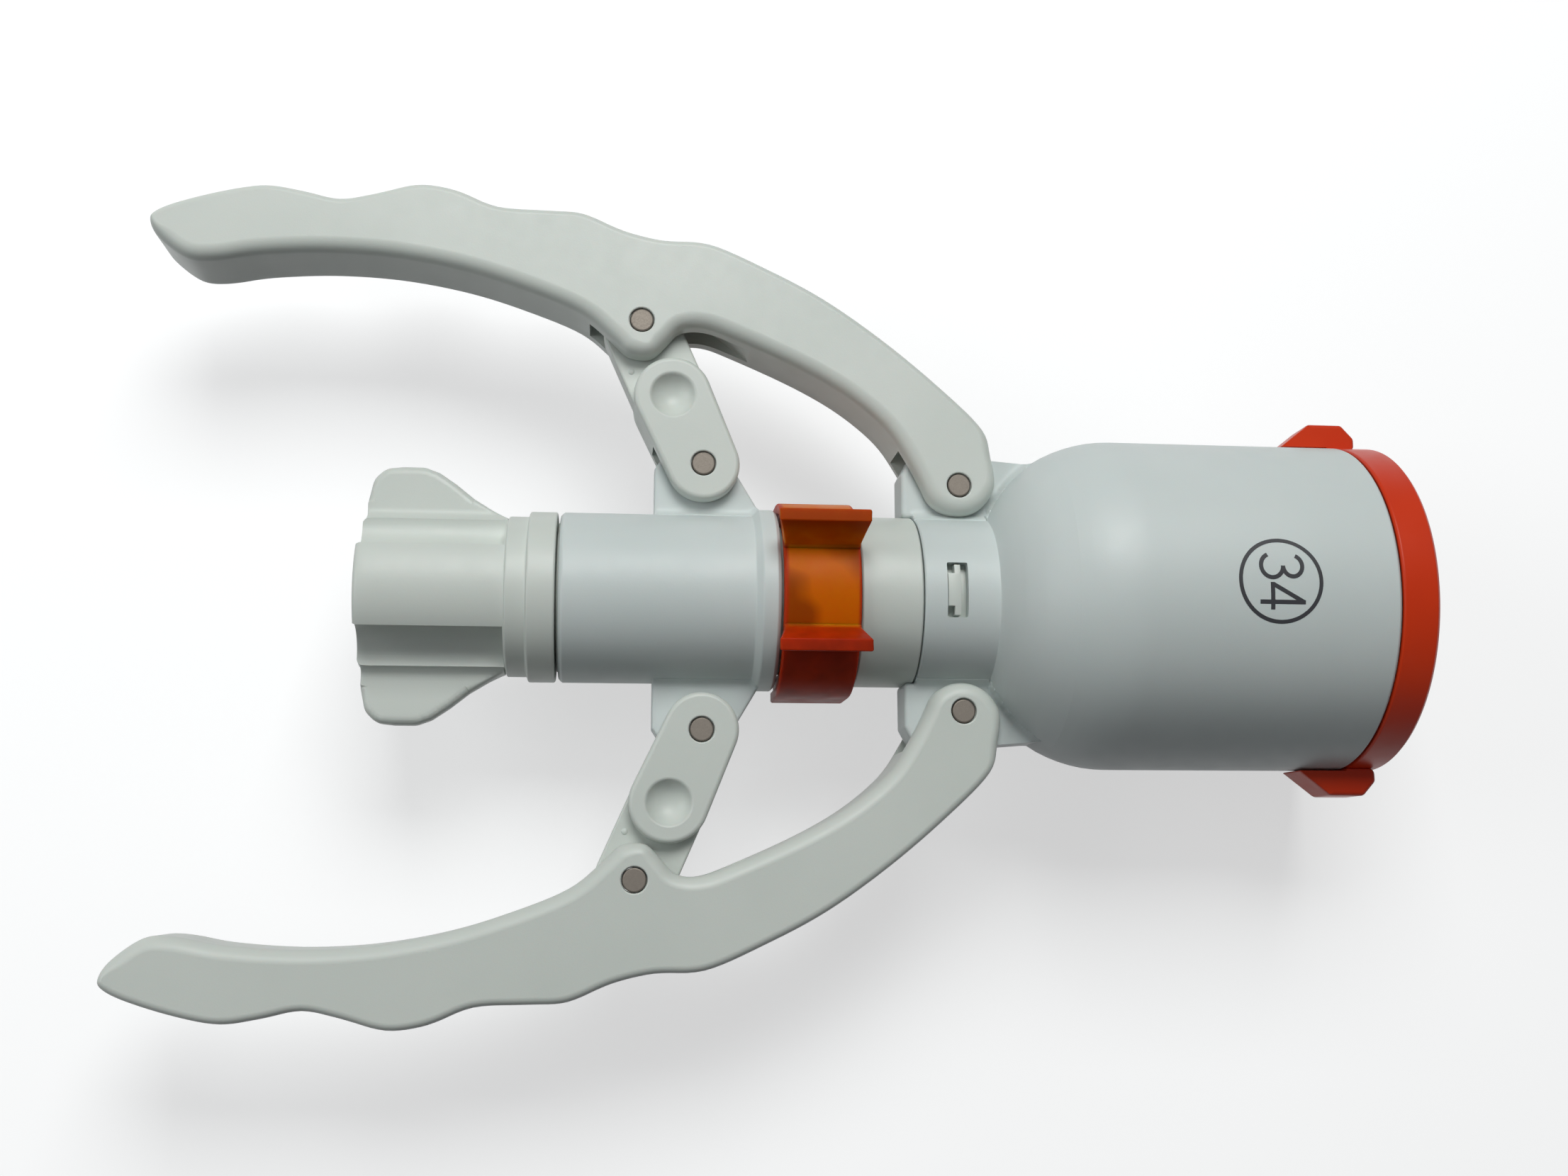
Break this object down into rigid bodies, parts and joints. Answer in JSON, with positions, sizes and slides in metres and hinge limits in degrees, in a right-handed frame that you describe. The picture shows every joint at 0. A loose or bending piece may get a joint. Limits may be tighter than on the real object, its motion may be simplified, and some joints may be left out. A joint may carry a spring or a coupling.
{
  "type": "circular surgical stapler",
  "caption": "Disposable circular stapler: a bell-ended round head with cartridge and ring knife, closed by a rear knob and fired by two linked squeeze handles.",
  "frame": {"origin": "on the axis of the head and bell, in the plane of the head's front rim", "axes": "+X along the axis, out of the bell's mouth; +Y towards the upper handle; +Z out of the face with the size number, across the plane in which the handles close"},
  "size_m": [0.1698, 0.113, 0.046],
  "materials": {
    "white_plastic": "moulded ABS, satin to semi-gloss, very slightly green white",
    "inner_plastic": "moulded, satin",
    "washer_plastic": "soft polyethylene",
    "pin_steel": "turned and blasted pin ends",
    "blade_steel": "bright stainless",
    "nut_brass": "turned",
    "amber_plastic": "translucent amber to red, glossy",
    "red_plastic": "moulded, glossy"
  },
  "bodies": {
    "root": {"head_housing": "white_plastic", "guide_tube": "white_plastic", "staple_cartridge": "inner_plastic", "staples": "blade_steel", "return_spring": "blade_steel", "upper_pivot_pin": "pin_steel", "lower_pivot_pin": "pin_steel"},
    "upper_handle": {"upper_handle": "white_plastic", "upper_link_pin": "pin_steel"},
    "lower_handle": {"lower_handle": "white_plastic", "lower_link_pin": "pin_steel"},
    "upper_link": {"upper_link": "white_plastic", "upper_sleeve_pin": "pin_steel"},
    "lower_link": {"lower_link": "white_plastic", "lower_sleeve_pin": "pin_steel"},
    "push_sleeve": {"push_sleeve": "white_plastic", "drive_keys": "pin_steel", "pusher": "inner_plastic", "ring_knife": "blade_steel"},
    "knob": {"adjusting_knob": "white_plastic", "knob_nut": "nut_brass", "knob_retaining_ring": "blade_steel"},
    "bell": {"bell_cup": "white_plastic", "anvil_ring": "blade_steel", "cutting_washer": "washer_plastic", "pull_rod": "blade_steel"},
    "safety_catch": {"safety_catch": "amber_plastic"},
    "protective_ring": {"protective_ring": "red_plastic"}
  },
  "joints": [
    {"name": "handle_squeeze", "type": "hinge", "parent": "root", "child": "upper_handle", "pos_m": [-0.0544, 0.0156, 0], "axis": [0, 0, 1], "range_deg": [0, 14], "stiffness_Nm_per_rad": 0.8, "springref_deg": -2.86},
    {"name": "lower_handle_squeeze", "type": "hinge", "parent": "root", "child": "lower_handle", "pos_m": [-0.0544, -0.0156, 0], "axis": [0, 0, 1], "range_deg": [-14, 0]},
    {"name": "upper_link_swing", "type": "hinge", "parent": "upper_handle", "child": "upper_link", "pos_m": [-0.09829, 0.0379, 0], "axis": [0, 0, 1], "range_deg": [0, 29.3]},
    {"name": "lower_link_swing", "type": "hinge", "parent": "lower_handle", "child": "lower_link", "pos_m": [-0.09829, -0.0379, 0], "axis": [0, 0, 1], "range_deg": [-29.3, 0]},
    {"name": "sleeve_slide", "type": "slide", "parent": "root", "child": "push_sleeve", "axis": [1, 0, 0], "range_m": [0, 0.007], "deforming": ["return_spring", "staples"]},
    {"name": "knob_turn", "type": "hinge", "parent": "root", "child": "knob", "pos_m": [-0.12, 0, 0], "axis": [1, 0, 0], "range_deg": [0, 1620]},
    {"name": "bell_slide", "type": "slide", "parent": "root", "child": "bell", "axis": [1, 0, 0], "range_m": [0, 0.018]},
    {"name": "safety_catch_slide", "type": "slide", "parent": "push_sleeve", "child": "safety_catch", "axis": [0, 0, 1], "range_m": [0, 0.03]},
    {"name": "protective_ring_slide", "type": "slide", "parent": "bell", "child": "protective_ring", "axis": [1, 0, 0], "range_m": [0, 0.04]}
  ],
  "couplings": [
    {"joint": "lower_handle_squeeze", "follows": "handle_squeeze", "ratio": -1},
    {"joint": "upper_link_swing", "follows": "handle_squeeze", "ratio": 2.086},
    {"joint": "lower_link_swing", "follows": "handle_squeeze", "ratio": -2.086},
    {"joint": "sleeve_slide", "follows": "handle_squeeze", "m_per_rad": 0.02864},
    {"joint": "knob_turn", "follows": "bell_slide", "rad_per_m": 1570.8}
  ]
}
